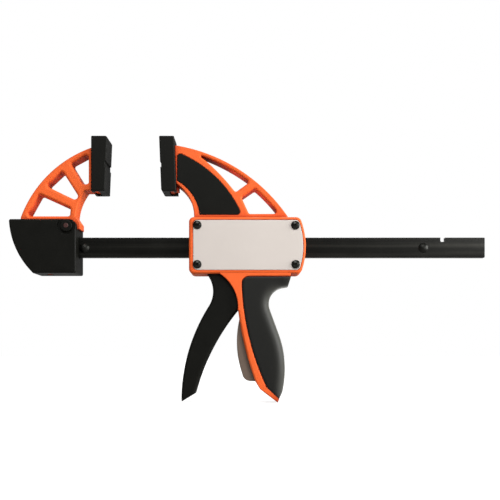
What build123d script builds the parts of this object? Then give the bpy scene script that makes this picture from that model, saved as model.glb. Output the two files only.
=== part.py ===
"""Quick release bar clamp, one-handed, 150 mm class.

Frame: X runs along the bar from the fixed jaw to the sliding jaw, Z points up from the bar
to the jaws, Y is across the bar. The origin is on the bar's axis, below the clamping face of
the fixed pad. All sizes are in millimetres.
"""

import os
from math import acos, atan2, cos, hypot, radians, sin, sqrt

from build123d import *

os.makedirs("parts", exist_ok=True)

# ---------------------------------------------------------------- driving dimensions
# bar
bar_height = 19.0
bar_thickness = 6.0
bar_front = -76.8
bar_rear = 356.2
bar_edge_radius = 0.6
notch_width = 4.75
notch_depth = 4.1
notch_corner = 1.2
notch_from_end = 39.8
front_stop_from_end = 53.8
rear_stop_from_end = 58.4
stop_z = -0.4
stop_shank_radius = 2.0
stop_head_radius = 4.7
stop_head_height = 2.3

# fits
fit = 0.02
slide_gap = 0.15
running_gap = 0.3

# clamping pads
pad_half_width = 13.0
pad_bottom = 51.5
pad_top = 103.0
pad_round = 2.0
pad_corner = 1.0
groove_z = 76.7
groove_half_height = 2.4
groove_depth = 2.6
fixed_face_bottom = -1.5
fixed_face_top = 0.7
fixed_back = -14.4
moving_face_bottom = 51.0
moving_face_top = 49.0
moving_back_bottom = 64.9
moving_back_top = 62.9

# feet of the jaws, which the pads slide on
foot_half_width = 9.0
foot_neck_half_width = 4.8
foot_neck_length = 2.6
foot_thickness = 4.0
foot_low = 53.2
foot_high = 91.5

# jaws
jaw_half_width = 9.0
jaw_edge_round = 0.9
window_round = 2.2
fixed_window_edge_round = 2.5
moving_window_edge_round = 2.0

# base of the fixed jaw and its covers
cover_half_width = 15.0
cover_wall = 3.0
cover_front = -28.0
cover_top = 25.0
cover_bottom = -25.3
cover_edge_round = 1.6
ledge_top = 27.9
window_sill = 28.8
nose_front = -26.0
nose_bottom = 16.5
base_tab_front = -53.0
base_tab_back = -59.0
base_tab_half_width = 3.5
base_half_width = 8.8

# push button that locks the fixed jaw on the bar
lock_z = 18.8
lock_travel = 6.5
lock_plate_half_width = 2.2
lock_plate_top = 21.7
lock_plate_reach = 9.6
button_radius = 5.6
button_proud = 1.2
button_recess_radius = 8.35
button_recess_depth = 1.2
plunger_radius = 2.3
lock_spring_radius = 2.6
lock_spring_wire = 0.6
cover_screw_spots = ((-68.0, 14.5), (-50.0, -16.5))
cover_screw_radius = 1.6
cover_screw_head_radius = 3.2
cover_screw_head_height = 2.2

# housing of the sliding jaw, wide enough for the springs round the bar
spring_radius = bar_height / 2 + 1.5
housing_half_width = spring_radius + 4.0
housing_front = 77.0
housing_rear = 185.9
housing_top = 27.0
housing_bottom = -25.8
housing_front_round = 4.5
housing_rear_round = 5.5
housing_edge_round = 2.4
cavity_front = 90.5
cavity_rear = 171.0
cavity_top = 19.5
cavity_bottom = -18.0
cavity_corner = 3.0
rib_front = 142.0
rib_thickness = 3.0
rib_bottom = -12.6

# steel side plates and their sleeve screws
plate_thickness = 1.5
plate_front = 81.0
plate_rear = 183.4
plate_top = 24.0
plate_bottom = -22.5
plate_corner = 4.0
screw_spots = ((84.9, 19.3), (84.9, -17.3), (176.0, 19.0), (176.3, -17.3))
screw_head_radius = 4.0
screw_rim_height = 0.8
screw_dome_height = 1.2
screw_shank_radius = 2.0
sleeve_radius = 3.0
socket_radius = 1.5
socket_depth = 1.2

# handle, its channel and the soft grip
handle_half_width = 14.5
handle_core_half_width = 12.8
channel_half_width = 11.3
grip_skin = 2.8
bead_round = 1.8
grip_round = 9.0
grip_core_round = 6.5

# trigger, on a pin that passes over the bar
trigger_half_width = 11.0
trigger_cheek = 3.0
trigger_web = 3.5
trigger_pivot_x = 104.0
trigger_pivot_z = bar_height / 2 + 4.0
trigger_eye_radius = cavity_top - trigger_pivot_z - 0.5
trigger_pin_radius = 2.5
trigger_nose_x = 109.5
trigger_nose_z = -15.0
trigger_nose_radius = 3.0
trigger_edge_round = 2.5

# release lever
release_half_width = 7.5
release_wall = 2.5
release_pivot_x = 137.0
release_pivot_z = -17.5
release_eye_radius = 4.5
release_pin_radius = 2.0
release_edge_round = 1.2

# drive plates, brake plate and their springs
grip_plate_thickness = 3.0
grip_hole_height = bar_height + 0.5
grip_hole_width = bar_thickness + 0.6
drive_plate_gap = 0.05
drive_plate_half_width = 9.5
drive_plate_low = -16.0
drive_plate_high = 16.5
brake_fulcrum_x = 147.5
brake_fulcrum_z = 17.0
brake_tilt = 3.0
brake_half_width = 9.0
brake_tail_half_width = 5.5
brake_shoulder_z = -17.0
brake_low = -31.5
brake_high = 19.0
drive_spring_wire = 1.6
drive_spring_turns = 4
brake_spring_wire = 1.4
brake_spring_turns = 3

# ---------------------------------------------------------------- worked-out sizes
bar_length = bar_rear - bar_front
bar_slot_height = bar_height + 2 * slide_gap
bar_slot_width = bar_thickness + 2 * slide_gap
lock_x = bar_front + notch_from_end
notch_places = (lock_x, bar_rear - notch_from_end)
front_stop_x = bar_front + front_stop_from_end
rear_stop_x = bar_rear - rear_stop_from_end
notch_floor = bar_height / 2 - notch_depth
plate_seat = housing_half_width - plate_thickness
cover_gap = 0.1


def save(piece, node):
    """Names a finished piece and writes it."""
    piece.part.label = node
    export_step(piece.part, f"parts/{node}.step")


def arc_point(centre, radius, z, side=1):
    """The point at height z on a circle in the XZ plane, on its +X or -X side."""
    reach = sqrt(radius**2 - (z - centre[1]) ** 2)
    return (centre[0] + side * reach, z)


def arc_between(centre, radius, z_start, z_end, side=1):
    """An arc of that circle from one height to another."""
    z_middle = (z_start + z_end) / 2
    ends = [arc_point(centre, radius, z, side) for z in (z_start, z_middle, z_end)]
    return ThreePointArc(*ends)


def vertices_at(points):
    """The open sketch's corners that lie at the given points."""
    corners = BuildSketch._get_context().sketch_local.vertices()
    near = [v for v in corners if min(hypot(v.X - x, v.Y - z) for x, z in points) < 0.01]
    return near


# ---------------------------------------------------------------- bar and its stop studs
# Flat steel bar with rounded edges, a locking notch in its top edge near each end and a
# riveted stud behind each notch.
with BuildPart() as bar:
    with BuildSketch(Plane.XZ):
        with Locations(((bar_front + bar_rear) / 2, 0)):
            Rectangle(bar_length, bar_height)
    extrude(amount=bar_thickness / 2, both=True)
    fillet(bar.edges().filter_by(Axis.X), bar_edge_radius)
    chamfer(bar.edges().filter_by(Axis.Y), bar_edge_radius)
    with BuildSketch(Plane.XZ):
        with Locations(*[(x, bar_height / 2) for x in notch_places]):
            RectangleRounded(notch_width, 2 * notch_depth, notch_corner)
        with Locations((front_stop_x, stop_z), (rear_stop_x, stop_z)):
            Circle(stop_shank_radius + fit)
    extrude(amount=bar_thickness, both=True, mode=Mode.SUBTRACT)
save(bar, "bar")


def dome_at(radius, height, reach):
    """Height of a spherical dome at a distance from its middle."""
    ball = (radius**2 + height**2) / (2 * height)
    return height - ball + sqrt(ball**2 - reach**2)


def stop_stud(x):
    """A rivet across the bar with the same round head on both sides."""
    half = bar_thickness / 2
    rim_x = x + stop_head_radius
    shank_x = x + stop_shank_radius
    bulge_x = x + stop_head_radius / 2
    bulge = half + dome_at(stop_head_radius, stop_head_height, stop_head_radius / 2)
    crown = half + stop_head_height
    with BuildPart() as stud:
        with BuildSketch(Plane.XY.offset(stop_z)):
            with BuildLine():
                Line((x, -crown), (x, crown))
                ThreePointArc((x, crown), (bulge_x, bulge), (rim_x, half))
                Polyline((rim_x, half), (shank_x, half), (shank_x, -half), (rim_x, -half))
                ThreePointArc((rim_x, -half), (bulge_x, -bulge), (x, -crown))
            make_face()
        revolve(axis=Axis((x, 0, stop_z), (0, 1, 0)))
    return stud


save(stop_stud(front_stop_x), "front_stop_stud")
save(stop_stud(rear_stop_x), "rear_stop_stud")

# ---------------------------------------------------------------- pads


def line_x(bottom, top, z):
    """X at height z on the straight line through a pad's bottom and top values."""
    return bottom + (top - bottom) * (z - pad_bottom) / (pad_top - pad_bottom)


def band(back_bottom, back_top, toward, near, far, low, high):
    """A slanted strip beside a pad's back, between two distances from it."""
    corners = []
    for distance, z in ((near, low), (far, low), (far, high), (near, high)):
        corners.append((line_x(back_bottom, back_top, z) + toward * distance, z))
    return corners


def pad(face_bottom, face_top, back_bottom, back_top, toward, round_high):
    """A moulded pad: grooved face, T-slot in its back that is open at the bottom."""
    round_z = pad_top if round_high else pad_bottom
    square_z = pad_bottom if round_high else pad_top
    groove_x = line_x(face_bottom, face_top, groove_z)
    with BuildPart() as block:
        with BuildSketch(Plane.XZ):
            Polygon(
                (face_bottom, pad_bottom),
                (face_top, pad_top),
                (back_top, pad_top),
                (back_bottom, pad_bottom),
                align=None,
            )
            big = (line_x(face_bottom, face_top, round_z), round_z)
            small = (line_x(face_bottom, face_top, square_z), square_z)
            fillet(vertices_at([big]), pad_round)
            fillet(vertices_at([small, (back_top, pad_top)]), pad_corner)
        extrude(amount=pad_half_width, both=True)
        across = block.edges().filter_by(GeomType.LINE).group_by(Axis.Y)
        front = [e for e in across[0] + across[-1] if e.length > pad_top / 3]
        front = [e for e in front if toward * (e.center().X - groove_x) < pad_corner]
        fillet(front, pad_corner)
        with BuildSketch(Plane.XZ):
            Polygon(
                (groove_x - toward, groove_z + groove_half_height + 1),
                (groove_x + toward * groove_depth, groove_z),
                (groove_x - toward, groove_z - groove_half_height - 1),
                align=None,
            )
        extrude(amount=pad_half_width + 1, both=True, mode=Mode.SUBTRACT)
        slots = (
            (foot_half_width, foot_neck_length, foot_neck_length + foot_thickness),
            (foot_neck_half_width, -1.0, foot_neck_length + 1.0),
        )
        for half_width, near, far in slots:
            with BuildSketch(Plane.XZ):
                Polygon(
                    *band(back_bottom, back_top, toward, near, far, pad_bottom - 1, foot_high),
                    align=None,
                )
                offset(amount=slide_gap, kind=Kind.INTERSECTION)
            extrude(amount=half_width + slide_gap, both=True, mode=Mode.SUBTRACT)
    return block


save(pad(fixed_face_bottom, fixed_face_top, fixed_back, fixed_back, 1, True), "fixed_pad")
save(
    pad(moving_face_bottom, moving_face_top, moving_back_bottom, moving_back_top, -1, False),
    "moving_pad",
)


def add_foot(back_bottom, back_top, toward):
    """The T-shaped foot on a jaw that its pad slides on, added to the open part."""
    strips = (
        (foot_half_width, foot_neck_length, foot_neck_length + foot_thickness),
        (foot_neck_half_width, -2.0, foot_neck_length + 1.0),
    )
    for half_width, near, far in strips:
        with BuildSketch(Plane.XZ) as strip:
            Polygon(*band(back_bottom, back_top, toward, near, far, foot_low, foot_high), align=None)
        extrude(to_extrude=strip.sketch, amount=half_width, both=True)


def jaw_sides(jaw):
    """The two flat side faces of an open jaw frame."""
    sides = jaw.faces().filter_by(Axis.Y)
    return sides.filter_by(lambda f: abs(f.center().Y) > jaw_half_width - 0.01)


def window_rims(jaw):
    """The edges of the windows on both sides."""
    rims = []
    for face in jaw_sides(jaw):
        rims += face.inner_wires().edges()
    return rims


def long_rims(jaw):
    """The long round outer edges on both sides."""
    rims = []
    for face in jaw_sides(jaw):
        arcs = face.outer_wire().edges().filter_by(GeomType.CIRCLE)
        rims += [e for e in arcs if e.length > 2 * jaw_half_width]
    return rims


# ---------------------------------------------------------------- fixed jaw
# Outlines of the glass-filled nylon frame, all in the XZ plane.
fixed_outer_centre = (21.9, -10.5)
fixed_outer_radius = 109.9
fixed_throat_centre = (16.4, 24.5)
fixed_throat_radius = 46.5
fixed_throat_top = 53.0
frame_root = 22.0
fixed_jaw_top = 92.8
fixed_seat = fixed_back - slide_gap
cover_back_centre = (-16.4, 28.1)
cover_back_radius = 74.3
cover_back_top = 22.4
cover_corner = 7.0

with BuildSketch(Plane.XZ) as cover_outline:
    with BuildLine():
        back_top_point = arc_point(cover_back_centre, cover_back_radius, cover_back_top, -1)
        arc_between(cover_back_centre, cover_back_radius, cover_back_top, cover_bottom, -1)
        Polyline(
            arc_point(cover_back_centre, cover_back_radius, cover_bottom, -1),
            (cover_front, cover_bottom),
            (cover_front, cover_top),
            (back_top_point[0], cover_top),
            back_top_point,
        )
    make_face()
    fillet(vertices_at([(cover_front, cover_top)]), cover_corner)
    fillet(vertices_at([(cover_front, cover_bottom)]), cover_edge_round)
    fillet(vertices_at([(back_top_point[0], cover_top)]), cover_edge_round)

fixed_windows = (
    ((-34.6, 78.3), (-17.8, 87.3), (-17.8, 59.0), (-22.7, 59.0)),
    ((-75.9, window_sill), (-64.2, 49.7), (-34.8, 36.3), (-35.4, window_sill)),
)
middle_window = ((-42.6, 71.4), (-57.8, 57.3), (-22.8, 40.4))
middle_window_end = 3.0

with BuildPart() as fixed_jaw_frame:
    with BuildSketch(Plane.XZ):
        with BuildLine():
            outer_low = arc_point(fixed_outer_centre, fixed_outer_radius, ledge_top, -1)
            outer_high = arc_point(fixed_outer_centre, fixed_outer_radius, fixed_jaw_top, -1)
            throat_low = arc_point(fixed_throat_centre, fixed_throat_radius, ledge_top, -1)
            throat_high = arc_point(fixed_throat_centre, fixed_throat_radius, fixed_throat_top, -1)
            arc_between(fixed_outer_centre, fixed_outer_radius, ledge_top, fixed_jaw_top, -1)
            Polyline(
                outer_high,
                (fixed_seat, fixed_jaw_top),
                (fixed_seat, fixed_throat_top),
                throat_high,
            )
            arc_between(fixed_throat_centre, fixed_throat_radius, fixed_throat_top, ledge_top, -1)
            Polyline(
                throat_low,
                (throat_low[0], frame_root),
                (outer_low[0], frame_root),
                outer_low,
            )
        make_face()
        for corners in fixed_windows:
            with BuildSketch(Plane.XY, mode=Mode.PRIVATE) as window:
                Polygon(*corners, align=None)
                fillet(window.vertices(), window_round)
            add(window.sketch_local, mode=Mode.SUBTRACT)
        with BuildSketch(Plane.XY, mode=Mode.PRIVATE) as window:
            Polygon(*middle_window, align=None)
            fillet(vertices_at(middle_window[:2]), window_round)
            fillet(vertices_at(middle_window[2:]), middle_window_end)
        add(window.sketch_local, mode=Mode.SUBTRACT)
    extrude(amount=jaw_half_width, both=True)
    fillet(window_rims(fixed_jaw_frame), fixed_window_edge_round)
    fillet(long_rims(fixed_jaw_frame), jaw_edge_round)
    # base block, which the covers close over
    with BuildSketch(Plane.XZ):
        add(cover_outline.sketch_local)
        offset(amount=-cover_wall - slide_gap, mode=Mode.REPLACE)
        Polygon(
            (outer_low[0], ledge_top - cover_wall * 2),
            (outer_low[0], cover_top + 0.5),
            (cover_front - cover_wall * 2, cover_top + 0.5),
            throat_low,
            (nose_front, cover_top - cover_wall),
            (nose_front, nose_bottom),
            (cover_front - cover_wall * 2, nose_bottom),
            align=None,
        )
        with Locations(((base_tab_front + base_tab_back) / 2, cover_bottom + cover_wall)):
            Rectangle(base_tab_front - base_tab_back, 2 * cover_wall - 1.0)
    extrude(amount=base_half_width, both=True)
    add_foot(fixed_back, fixed_back, 1)
    # the tab under the base is narrower than the block
    for side in (-1, 1):
        with BuildSketch(Plane.XY.offset(cover_bottom - 1)):
            tab_trim = jaw_half_width - base_tab_half_width
            with Locations((lock_x - 20, side * (base_tab_half_width + tab_trim))):
                Rectangle(60, 2 * tab_trim)
        extrude(amount=cover_wall + 1 + slide_gap, mode=Mode.SUBTRACT)
    # passage for the bar
    with BuildSketch(Plane.YZ.offset(bar_front - 20)):
        Rectangle(bar_slot_width, bar_slot_height)
    extrude(amount=80, mode=Mode.SUBTRACT)
    # slot for the lock plate, well for the button, hole for its spring
    with BuildSketch(Plane.XZ):
        slot_top = lock_plate_top + running_gap
        with Locations((lock_x, (notch_floor + slot_top) / 2)):
            Rectangle(2 * (lock_plate_half_width + slide_gap), slot_top - notch_floor)
    extrude(amount=jaw_half_width + 1, both=True, mode=Mode.SUBTRACT)
    with BuildSketch(Plane.XZ.offset(jaw_half_width + 1)):
        with Locations((lock_x, lock_z)):
            Circle(button_radius + running_gap)
    extrude(amount=-(lock_travel + 1.6), mode=Mode.SUBTRACT)
    with BuildSketch(Plane.XZ.offset(-bar_thickness / 2)):
        with Locations((lock_x, lock_z)):
            Circle(lock_spring_radius + running_gap + lock_spring_wire / 2)
    extrude(amount=-jaw_half_width, mode=Mode.SUBTRACT)
    # holes for the cover screws
    with BuildSketch(Plane.XZ):
        with Locations(*cover_screw_spots):
            Circle(cover_screw_radius + fit)
    extrude(amount=jaw_half_width + 1, both=True, mode=Mode.SUBTRACT)
save(fixed_jaw_frame, "fixed_jaw_frame")


def base_cover(side):
    """A black cover of the fixed jaw's base; side -1 carries the button, +1 the screws."""
    out = -side  # a positive extrusion from Plane.XZ runs towards -Y
    with BuildPart() as cover:
        with BuildSketch(Plane.XZ.offset(out * cover_gap)):
            add(cover_outline.sketch_local)
        extrude(amount=out * (cover_half_width - cover_gap))
        outside = cover.faces().sort_by(Axis.Y)[-1 if side > 0 else 0]
        fillet(outside.edges(), cover_edge_round)
        with BuildSketch(Plane.XZ):
            add(cover_outline.sketch_local)
            offset(amount=-cover_wall, mode=Mode.REPLACE)
        extrude(amount=out * (cover_half_width - cover_wall), mode=Mode.SUBTRACT)
        # the jaw's frame rises through the open top and its nose shows in front
        with BuildSketch(Plane.XZ):
            left = outer_low[0] - slide_gap
            Polygon(
                (left, cover_top - cover_wall - 0.5),
                (left, ledge_top + 1),
                (nose_front + 3, ledge_top + 1),
                (nose_front + 3, nose_bottom - slide_gap),
                (cover_front - cover_wall - 2, nose_bottom - slide_gap),
                (cover_front - cover_wall - 2, cover_top - cover_wall - 0.5),
                align=None,
            )
        extrude(amount=out * (jaw_half_width + slide_gap), mode=Mode.SUBTRACT)
        # bosses around the cover screws
        with BuildSketch(Plane.XZ.offset(out * (jaw_half_width + slide_gap))):
            with Locations(*cover_screw_spots):
                Circle(cover_screw_head_radius + 1.5)
        extrude(amount=out * (cover_half_width - jaw_half_width - cover_wall + 1))
        with BuildSketch(Plane.XZ):
            with Locations(*cover_screw_spots):
                Circle(cover_screw_radius + fit)
        depth = cover_half_width + 1 if side > 0 else cover_half_width - cover_wall
        extrude(amount=out * depth, mode=Mode.SUBTRACT)
        if side > 0:
            with BuildSketch(Plane.XZ.offset(out * (cover_half_width - cover_screw_head_height))):
                with Locations(*cover_screw_spots):
                    Circle(cover_screw_head_radius + slide_gap)
            extrude(amount=out * (cover_screw_head_height + 1), mode=Mode.SUBTRACT)
        else:
            with BuildSketch(Plane.XZ.offset(cover_half_width - button_recess_depth)):
                with Locations((lock_x, lock_z)):
                    Circle(button_recess_radius)
            extrude(amount=button_recess_depth + 1, mode=Mode.SUBTRACT)
            with BuildSketch(Plane.XZ):
                with Locations((lock_x, lock_z)):
                    Circle(button_radius + slide_gap)
            extrude(amount=cover_half_width, mode=Mode.SUBTRACT)
        # passage for the bar and window for the base's tab
        with BuildSketch(Plane.YZ.offset(bar_front - 20)):
            Rectangle(bar_slot_width + 2 * slide_gap, bar_slot_height + 2 * slide_gap)
        extrude(amount=80, mode=Mode.SUBTRACT)
        with BuildSketch(Plane.XY.offset(cover_bottom - 1)):
            with Locations(((base_tab_front + base_tab_back) / 2, 0)):
                Rectangle(
                    base_tab_front - base_tab_back + 2 * slide_gap,
                    2 * (base_tab_half_width + slide_gap),
                )
        extrude(amount=cover_wall + 2, mode=Mode.SUBTRACT)
    return cover


save(base_cover(-1), "fixed_jaw_cover_left")
save(base_cover(1), "fixed_jaw_cover_right")

# Two self-tapping screws from the right side hold both covers on the base.
with BuildPart() as fixed_jaw_screws:
    head_seat = cover_half_width - cover_screw_head_height
    with BuildSketch(Plane.XZ.offset(-head_seat)):
        with Locations(*cover_screw_spots):
            Circle(cover_screw_head_radius)
    extrude(amount=-(cover_screw_head_height - 0.3))
    with BuildSketch(Plane.XZ.offset(-head_seat)):
        with Locations(*cover_screw_spots):
            Circle(cover_screw_radius)
    extrude(amount=head_seat + cover_half_width - 2 * cover_wall)
    with BuildSketch(Plane.XZ.offset(-cover_half_width)):
        with Locations(*cover_screw_spots):
            RegularPolygon(socket_radius, 6)
    extrude(amount=socket_depth, mode=Mode.SUBTRACT)
save(fixed_jaw_screws, "fixed_jaw_screws")

# ---------------------------------------------------------------- push button lock
button_face = cover_half_width + button_proud

with BuildPart() as jaw_lock_button:
    with BuildSketch(Plane.XZ.offset(lock_plate_reach + fit)):
        with Locations((lock_x, lock_z)):
            Circle(button_radius)
            Circle(plunger_radius + fit, mode=Mode.SUBTRACT)
    extrude(amount=button_face - lock_plate_reach)
    fillet(jaw_lock_button.faces().sort_by(Axis.Y)[0].outer_wire().edges(), 0.8)
save(jaw_lock_button, "jaw_lock_button")

with BuildPart() as jaw_lock_plunger:
    with BuildSketch(Plane.XZ.offset(lock_plate_reach)):
        with Locations((lock_x, lock_z)):
            Circle(plunger_radius)
    extrude(amount=button_face - lock_plate_reach + 0.2)
    fillet(jaw_lock_plunger.faces().sort_by(Axis.Y)[0].edges(), 0.5)
save(jaw_lock_plunger, "jaw_lock_plunger")

# Steel key: its tooth fills the bar's notch, and the relief beside the tooth clears the bar
# when the button is pressed.
with BuildPart() as jaw_lock_plate:
    tooth_half = bar_thickness / 2 + 0.2
    relief_z = bar_height / 2 + 0.4
    with BuildSketch(Plane.YZ.offset(lock_x - lock_plate_half_width)):
        Polygon(
            (-lock_plate_reach, relief_z),
            (-tooth_half, relief_z),
            (-tooth_half, notch_floor + 0.2),
            (tooth_half, notch_floor + 0.2),
            (tooth_half, lock_plate_top),
            (-lock_plate_reach, lock_plate_top),
            align=None,
        )
    extrude(amount=2 * lock_plate_half_width)
    tooth_tip = jaw_lock_plate.faces().sort_by(Axis.Z)[0]
    fillet(tooth_tip.edges().filter_by(Axis.Y), notch_corner)
save(jaw_lock_plate, "jaw_lock_plate")


def coil(radius, wire, turns, start, length, direction):
    """A helical compression spring with round wire."""
    across = Vector(0, 0, 1)
    pitch = length / turns
    with BuildPart() as spring:
        with BuildLine() as path:
            Helix(pitch=pitch, height=length, radius=radius, center=start, direction=direction)
        foot = path.line @ 0
        with BuildSketch(Plane(origin=foot, x_dir=across, z_dir=path.line % 0)):
            Circle(wire / 2)
        sweep(path=path.line)
    return spring


lock_spring_start = bar_thickness / 2 + 0.2 + lock_spring_wire / 2
lock_spring_end = cover_half_width - cover_wall - lock_spring_wire / 2
save(
    coil(
        lock_spring_radius,
        lock_spring_wire,
        4,
        (lock_x, lock_spring_start + 0.05, lock_z),
        lock_spring_end - lock_spring_start - 0.1,
        (0, 1, 0),
    ),
    "jaw_lock_spring",
)

# ---------------------------------------------------------------- sliding jaw body
moving_outer_centre = (38.7, -60.9)
moving_outer_radius = 158.2
moving_throat_centre = (44.8, 28.4)
moving_throat_radius = 36.6
moving_throat_top = 59.1
moving_jaw_top = 94.8
front_window_tip = (85.5, 86.4)
front_window_rim = (110.5, 75.6)
front_window_end = (133.5, 60.9)
front_window_root = (120.2, 51.2)
front_window_inner = (105.3, 68.6)
window_tip_round = 0.6
rear_window_radius = 152.6
jaw_foot_z = 31.0
neck_centre = (85.5, -57.0)
neck_radius = 37.2
rim_centre = (423.1, -22.2)
rim_radius = 302.7
rim_top = -60.0
rim_low = -126.0
seam_centre = (369.3, -27.9)
seam_radius = 242.7
seam_low_z = -132.6
seam_high_z = -36.0
toe_share = 0.3
back_centre = (71.4, -114.8)
back_radius = 95.4
back_low = -136.0
back_high = -67.0
waist_centre = (167.5, -53.6)
waist_radius = 15.9
horn_z = -37.9
housing_rear_centre_z = -0.3
housing_rear_radius = 69.2
handle_toe = (159.5, -145.8)
handle_kink = (143.2, -133.3)
grip_top = -28.6
handle_root_z = housing_bottom + housing_edge_round + grip_skin

with BuildSketch(Plane.XZ) as housing_outline:
    rear_centre = (housing_rear - housing_rear_radius, housing_rear_centre_z)
    high = arc_point(rear_centre, housing_rear_radius, housing_top)
    low = arc_point(rear_centre, housing_rear_radius, housing_bottom)
    with BuildLine():
        arc_between(rear_centre, housing_rear_radius, housing_top, housing_bottom)
        Polyline(
            low, (housing_front, housing_bottom), (housing_front, housing_top), high
        )
    make_face()
    fillet(vertices_at([high, low]), housing_rear_round)
    front_corners = [(housing_front, housing_top), (housing_front, housing_bottom)]
    fillet(vertices_at(front_corners), housing_front_round)

with BuildSketch(Plane.XZ) as plate_outline:
    plate_radius = plate_rear - rear_centre[0]
    high = arc_point(rear_centre, plate_radius, plate_top)
    low = arc_point(rear_centre, plate_radius, plate_bottom)
    with BuildLine():
        arc_between(rear_centre, plate_radius, plate_top, plate_bottom)
        Polyline(low, (plate_front, plate_bottom), (plate_front, plate_top), high)
    make_face()
    fillet(plate_outline.vertices(), plate_corner)


heel = arc_point(back_centre, back_radius, back_low)


def grip_back(start):
    """The back of the handle from the start near its toe up to the horn, in the open line."""
    # the straight stretch below the waist is the tangent that both arcs share
    run = waist_centre[0] - back_centre[0]
    rise = waist_centre[1] - back_centre[1]
    turn = atan2(rise, run) - acos((back_radius + waist_radius) / hypot(run, rise))
    shoulder = (back_centre[0] + back_radius * cos(turn), back_centre[1] + back_radius * sin(turn))
    waist_low = (
        waist_centre[0] - waist_radius * cos(turn),
        waist_centre[1] - waist_radius * sin(turn),
    )
    waist_high = arc_point(waist_centre, waist_radius, horn_z, -1)
    Line(start, heel)
    arc_between(back_centre, back_radius, back_low, shoulder[1])
    Line(shoulder, waist_low)
    ThreePointArc(waist_low, (waist_centre[0] - waist_radius, waist_centre[1]), waist_high)
    Polyline(waist_high, (169.5, -37.1), (172.0, grip_top))


neck_start = arc_point(neck_centre, neck_radius, housing_bottom)
neck_end = arc_point(neck_centre, neck_radius, rim_top)
rim_start = arc_point(rim_centre, rim_radius, rim_top, -1)
rim_end = arc_point(rim_centre, rim_radius, rim_low, -1)

with BuildSketch(Plane.XZ) as handle_outline:
    with BuildLine():
        arc_between(neck_centre, neck_radius, housing_bottom, rim_top)
        Line(neck_end, rim_start)
        arc_between(rim_centre, rim_radius, rim_top, rim_low, -1)
        Polyline(rim_end, handle_kink, handle_toe)
        grip_back(handle_toe)
        Polyline(
            (172.0, grip_top),
            (172.0, handle_root_z),
            (neck_start[0], handle_root_z),
            neck_start,
        )
    make_face()

with BuildSketch(Plane.XZ) as grip_outline:
    seam_low = arc_point(seam_centre, seam_radius, seam_low_z, -1)
    seam_high = arc_point(seam_centre, seam_radius, seam_high_z, -1)
    grip_toe = (
        handle_toe[0] + toe_share * (heel[0] - handle_toe[0]),
        handle_toe[1] + toe_share * (heel[1] - handle_toe[1]),
    )
    with BuildLine():
        Polyline((172.0, grip_top), (seam_high[0], grip_top), seam_high)
        arc_between(seam_centre, seam_radius, seam_high_z, seam_low_z, -1)
        Line(seam_low, grip_toe)
        grip_back(grip_toe)
    make_face()
    fillet(vertices_at([(seam_high[0], grip_top)]), 6.0)

channel_wall = grip_skin + 4.5
channel_radius = back_radius - channel_wall
with BuildSketch(Plane.XZ) as channel_outline:
    channel_low = arc_point(back_centre, channel_radius, -139.3)
    channel_high = arc_point(back_centre, channel_radius, back_high)
    with BuildLine():
        arc_between(back_centre, channel_radius, -139.3, back_high)
        Polyline(
            channel_high,
            (146.0, -62.0),
            (146.0, -44.0),
            (152.0, -37.0),
            (152.0, cavity_bottom + 1),
            (93.5, cavity_bottom + 1),
            (93.5, -40.0),
            (112.0, -90.0),
            (133.0, -127.6),
            (141.5, -127.6),
            channel_low,
        )
    make_face()


insert_top_centre = (24.7, -14.5)
insert_top_radius = 110.9
insert_throat_centre = (45.9, 25.6)
insert_throat_radius = 41.1
insert_edge_x = 65.6
insert_foot_z = 30.0
insert_depth = 2.0
insert_proud = 0.3
insert_floor = jaw_half_width - insert_depth

with BuildSketch(Plane.XZ) as insert_outline:
    edge_low_z = insert_throat_centre[1] + sqrt(
        insert_throat_radius**2 - (insert_edge_x - insert_throat_centre[0]) ** 2
    )
    edge_high_z = insert_top_centre[1] + sqrt(
        insert_top_radius**2 - (insert_edge_x - insert_top_centre[0]) ** 2
    )
    throat_foot = arc_point(insert_throat_centre, insert_throat_radius, insert_foot_z)
    top_foot = arc_point(insert_top_centre, insert_top_radius, insert_foot_z)
    with BuildLine():
        arc_between(insert_throat_centre, insert_throat_radius, edge_low_z, insert_foot_z)
        Line(throat_foot, top_foot)
        arc_between(insert_top_centre, insert_top_radius, insert_foot_z, edge_high_z)
        Line((insert_edge_x, edge_high_z), (insert_edge_x, edge_low_z))
    make_face()
    fillet(vertices_at([(insert_edge_x, edge_high_z), top_foot]), 3.0)
    fillet(vertices_at([(insert_edge_x, edge_low_z), throat_foot]), 1.0)

with BuildSketch(Plane.XZ) as insert_recess:
    add(insert_outline.sketch_local)
    offset(amount=slide_gap)


def back_rims(piece, half_width):
    """The long side edges that run down the back of the handle, from horn to heel."""
    rims = piece.edges().filter_by(lambda e: abs(abs(e.center().Y) - half_width) < 0.01)
    rims = rims.filter_by(lambda e: e.center().X > waist_centre[0] - waist_radius - grip_skin - 1)
    return rims.filter_by(lambda e: e.length > 20 and e.center().Z < horn_z)


def handle_core(clearance):
    """The stiff core of the handle inside its soft grip, grown by a clearance."""
    half_width = handle_core_half_width + clearance
    with BuildSketch(Plane.XZ) as outline:
        add(handle_outline.sketch_local)
        offset(amount=clearance - grip_skin, mode=Mode.REPLACE)
    with BuildPart() as core:
        extrude(to_extrude=outline.sketch, amount=half_width, both=True)
        fillet(back_rims(core, half_width), grip_core_round + clearance)
    return core


with BuildSketch(Plane.XZ) as handle_bead:
    add(handle_outline.sketch_local)
    add(grip_outline.sketch_local, mode=Mode.SUBTRACT)

def rounded_bead():
    """The bead that frames the grip, from the housing to the toe, with rounded long edges."""
    with BuildPart() as bead:
        extrude(to_extrude=handle_bead.sketch, amount=handle_half_width, both=True)
        sides = bead.edges().filter_by(lambda e: abs(abs(e.center().Y) - handle_half_width) < 0.01)
        fillet(sides.filter_by(lambda e: e.length > 60 and e.center().Z < horn_z), bead_round)
    return bead


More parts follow.
